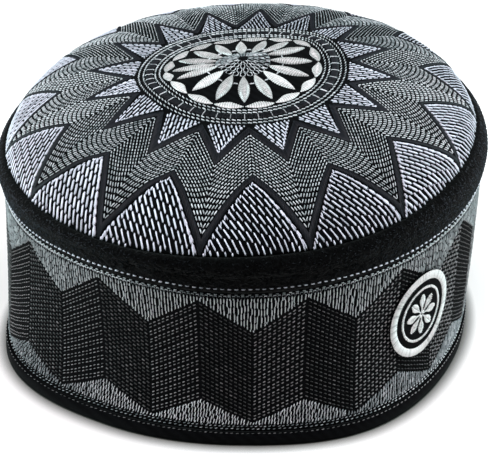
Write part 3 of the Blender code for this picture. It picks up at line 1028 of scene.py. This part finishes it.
def net_stitches(bottom, top, pitch, length, lean=0.0):
    """Columns of bowed stitches between two zigzag lines, of which one is level.

    Each stitch bows aside by its own chance, so that the columns touch and part again like a net.
    """
    s = evenly(pitch)[:, None]
    begin = 6.0 - length * chance.uniform(0, 1, s.shape) + np.arange(30)[None] * length
    start = np.maximum(begin - 0.3, zigzag_height(s, bottom))
    end = np.minimum(begin + length + 0.3, zigzag_height(s, top))
    kept = end - start > 0.8
    bend = chance.normal(0, NET_SWAY, np.count_nonzero(kept))
    s = np.broadcast_to(s, kept.shape)[kept]
    rise = np.array([0.0, 0.25, 0.75, 1.0])
    bow = np.array([-0.3, 1.0, 1.0, -0.3])
    along = s[:, None] + bend[:, None] * bow + lean * (rise - 0.5)
    height = start[kept][:, None] + (end - start)[kept][:, None] * rise
    return np.stack([along, height], axis=-1)


# %% The upper and the lower triangles
upper_paths = net_stitches((UPPER[0] + 0.5, UPPER[1] + 0.5), (69.0, 69.0), 1.14, 3.4)
lower_paths = net_stitches((8.8, 8.8), (LOWER[0] - 0.4, LOWER[1] - 0.4), 1.12, 2.2, lean=0.5)
upper_painted_light = fade(band_turn(upper_paths), 1.0, 0.0, 10, 65)
upper_net = lay_stitches(band_place, upper_paths, 0.46, 0.5, tone=upper_painted_light)
lower_turn = band_turn(lower_paths)
lower_width = np.interp(lower_turn, [-70, -45], [0.28, 0.42])
lower_painted_light = np.interp(lower_turn, [-60, -43, -20, 0, 25, 47, 90], [0.0, 0.2, 1.0, 0.95, 0.25, 0.25, 0.0])
lower_net = lay_stitches(band_place, lower_paths, lower_width, 0.5, tone=lower_painted_light)
upper_piece = sew("band_upper_stitches", upper_net, band_thread, "band_embroidery")
lower_piece = sew("band_lower_stitches", lower_net, grey_thread, "band_embroidery")

# %% [markdown]
# ## Edge lines
# A chain of small loops and a row of dashes run under the roll, two rows of dashes above the hem
# tape and one along its shoulder, and a white topstitch holds the roll. Under the front of the roll
# the thread is thin and painted dim, as painted shade, and towards the sides, where the lights reach,
# it is broad and painted bright.

# %% Rows of dashes
def dashes(height, pitch, length, slant=0.0):
    """Stitches round the cap at one height."""
    starts = evenly(pitch)[:, None] * (1, 0) + (0, height - slant / 2)
    return straight(starts, starts + (length, slant))


def arches(low, high, pitch, width):
    """Open loops that stand side by side, each up, across and down again."""
    outline = np.array([(0.0, low), (0.1 * width, high), (0.9 * width, high), (width, low)])
    return evenly(pitch)[:, None, None] * (1, 0) + outline


def tape_place(s, h, lift):
    """A point of a strip wrapped round the shoulder of the hem tape."""
    return form_cap(HEM_OUT - 0.25 + lift, np.degrees(s / BAND_RADIUS), h)


FOOT_TURNS = [-80, -55, 20, 45]


def foot_row(place, paths, height, jitter, paler=0.0):
    """Dashes near the hem, broader at the sides than at the front and painted paler there, as painted light.
    """
    width = np.interp(band_turn(paths), FOOT_TURNS, [0.42, 0.25, 0.25, 0.46])
    tone = paler + np.interp(band_turn(paths), FOOT_TURNS, [0.6, 0.1, 0.1, 0.8])
    return lay_stitches(place, paths, width, height, jitter, tone)


def lit_row(place, paths, width, height, jitter, tone):
    """Stitches near the roll, their tone painted light. Width and tone are the value in front, the one
    beside, and two turns.
    """
    turn = band_turn(paths)
    return lay_stitches(place, paths, fade(turn, *width), height, jitter, fade(turn, *tone))


# %% The chain, the foot rows and the topstitches
edges = np.concatenate([arches(68.6, 70.0, 1.52, 1.15), dashes(70.7, 2.28, 1.2)])
upper_edges = lit_row(band_place, edges, (0.24, 0.5, 5, 45), 0.38, 0.05, (0.3, 1.0, 5, 32))
foot_dashes = np.concatenate([dashes(8.2, 1.64, 1.0, 0.4), dashes(6.9, 1.9, 1.1, 0.3)])
foot_edges = foot_row(band_place, foot_dashes, 0.3, 0.08)
edge_piece = sew("band_edge_stitches", join(upper_edges, foot_edges), grey_thread, "band_embroidery")
tape_edges = foot_row(tape_place, dashes(5.8, 1.9, 1.1, 0.2), 0.22, 0.06, 0.2)
tape_piece = sew("hem_topstitch", tape_edges, dim_thread, "hem_tape")
rim_dashes = dashes(73.6, 2.3, 1.5)
topstitch = lit_row(roll_place, rim_dashes, (0.24, 0.95, 5, 35), 0.5, 0.03, (0.25, 1.0, 5, 28))
sew("rim_topstitch", topstitch, white_thread, "black_twill")

# %% [markdown]
# ## The patch
# On the front right sits a small sewn oval with a satin border and a plain eight-petal rosette. The
# disc follows the wall, and its stitches are laid in its own flat oval pattern.

# %% The patch's disc
PATCH_TURN = 42.5
PATCH_HEIGHT = 42.0
PATCH_HALF = (15.5, 18.0)
PATCH_THICK = 1.1


def patch_place(x, y, lift):
    """A point of the flat oval, wrapped on the band's wall."""
    return form_cap(BAND_RADIUS + 0.3 + lift, PATCH_TURN + np.degrees(x / BAND_RADIUS), PATCH_HEIGHT + y)


def oval(share, turn):
    """A point of the oval's flat pattern, from its share of the way out and its turn."""
    angle = np.radians(turn)
    return np.stack([PATCH_HALF[0] * share * np.sin(angle), -PATCH_HALF[1] * share * np.cos(angle)], axis=-1)


dome_rings = [(share, PATCH_THICK) for share in (0.0, 0.2, 0.4, 0.6, 0.8, 0.93)]
patch_rings = np.array(dome_rings + [(0.98, 0.95), (0.99, 0.5), (0.98, 0.0), (0.5, 0.0), (0.0, 0.0)])
PATCH_COLUMNS = 96
patch_flat = oval(patch_rings[:, :1], full_circle(PATCH_COLUMNS)[None])
patch_points = patch_place(patch_flat[..., 0], patch_flat[..., 1], patch_rings[:, 1:]).reshape(-1, 3)
patch_disc = make_piece("patch_disc", patch_points, grid_faces(len(patch_rings), PATCH_COLUMNS, closed=False))
merge_doubles(patch_disc)
dress(patch_disc, ground_twill, "patch_thread", "side_patch")

# %% The patch's stitches
border_turns = full_circle(210)
border = straight(oval(0.80, border_turns), oval(1.0, border_turns + 2), 0.12)
inner_ring = straight(oval(0.60, border_turns[::2]), oval(0.66, border_turns[::2] + 4), 0.15)
leaf_turns = full_circle(8)
share = np.linspace(0.0, 1.0, 13)
spread = np.array([-17.0, 17.0])[:, None, None] * np.sin(np.pi * share)
leaf_edge = oval(0.11 + 0.39 * share, leaf_turns[:, None] + spread)
leaf_middle = np.broadcast_to(oval(0.14 + 0.36 * share, leaf_turns[:, None]), leaf_edge.shape)
leaf_paths = straight(leaf_middle.reshape(-1, 2), leaf_edge.reshape(-1, 2), 0.12)
core = straight(oval(0.02, leaf_turns), oval(0.11, leaf_turns), 0.2)
patch_paths = np.concatenate([border, inner_ring, leaf_paths, core])
patch_stitches = lay_stitches(
    lambda x, y, lift: patch_place(x, y, lift + PATCH_THICK), patch_paths, 0.6, 0.4, jitter=0.03, tone=0.95
)
patch_piece = sew("patch_stitches", patch_stitches, silver_thread, "patch_thread")

# %% [markdown]
# The pieces laid on the crown are gathered in one list.

# %% Crown pieces
crown_pieces = [grey_band, white_triangles, black_bands, petal_piece, scallop_piece, ring_piece]
crown_pieces += [square_piece, rosette_piece]
